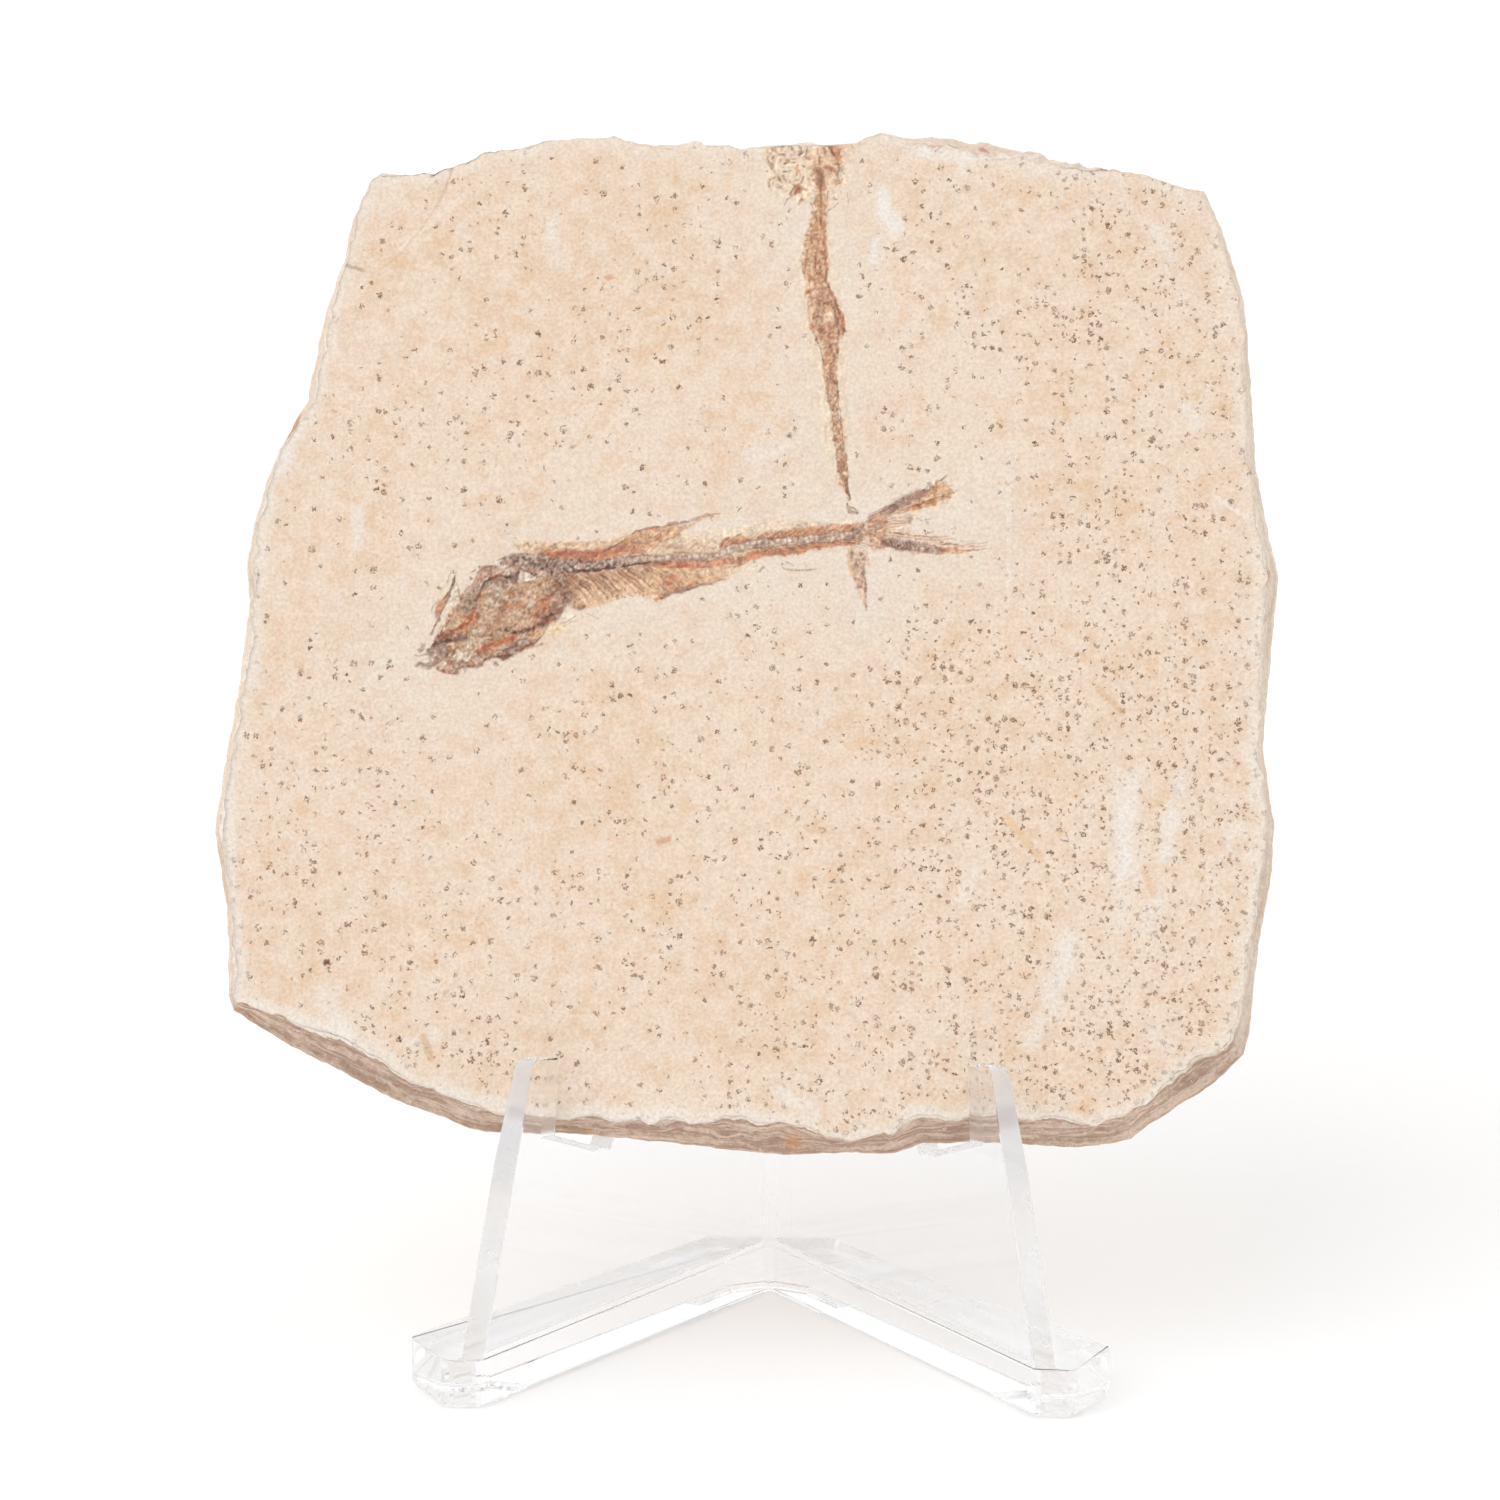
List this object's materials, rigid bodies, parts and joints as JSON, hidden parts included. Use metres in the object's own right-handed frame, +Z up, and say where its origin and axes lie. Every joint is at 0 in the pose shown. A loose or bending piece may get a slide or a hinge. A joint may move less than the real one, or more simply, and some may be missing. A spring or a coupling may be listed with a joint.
{
  "type": "fossil fish slab",
  "caption": "Flat slab of pale limestone with small fossil fish in low relief, leaning on a clear plastic easel whose upright wings meet in a V and hold it on lipped arms.",
  "frame": {"origin": "on the table, under the middle of the whole part's bounding box", "axes": "+Z up from the table, -Y out of the side where the fossils face, +X to the right of a person who looks at them"},
  "size_m": [0.1266, 0.0642, 0.1418],
  "materials": {
    "limestone": "matte",
    "clear_plastic": "gloss"
  },
  "bodies": {
    "root": {"slab": "limestone", "stand": "clear_plastic"}
  },
  "joints": []
}
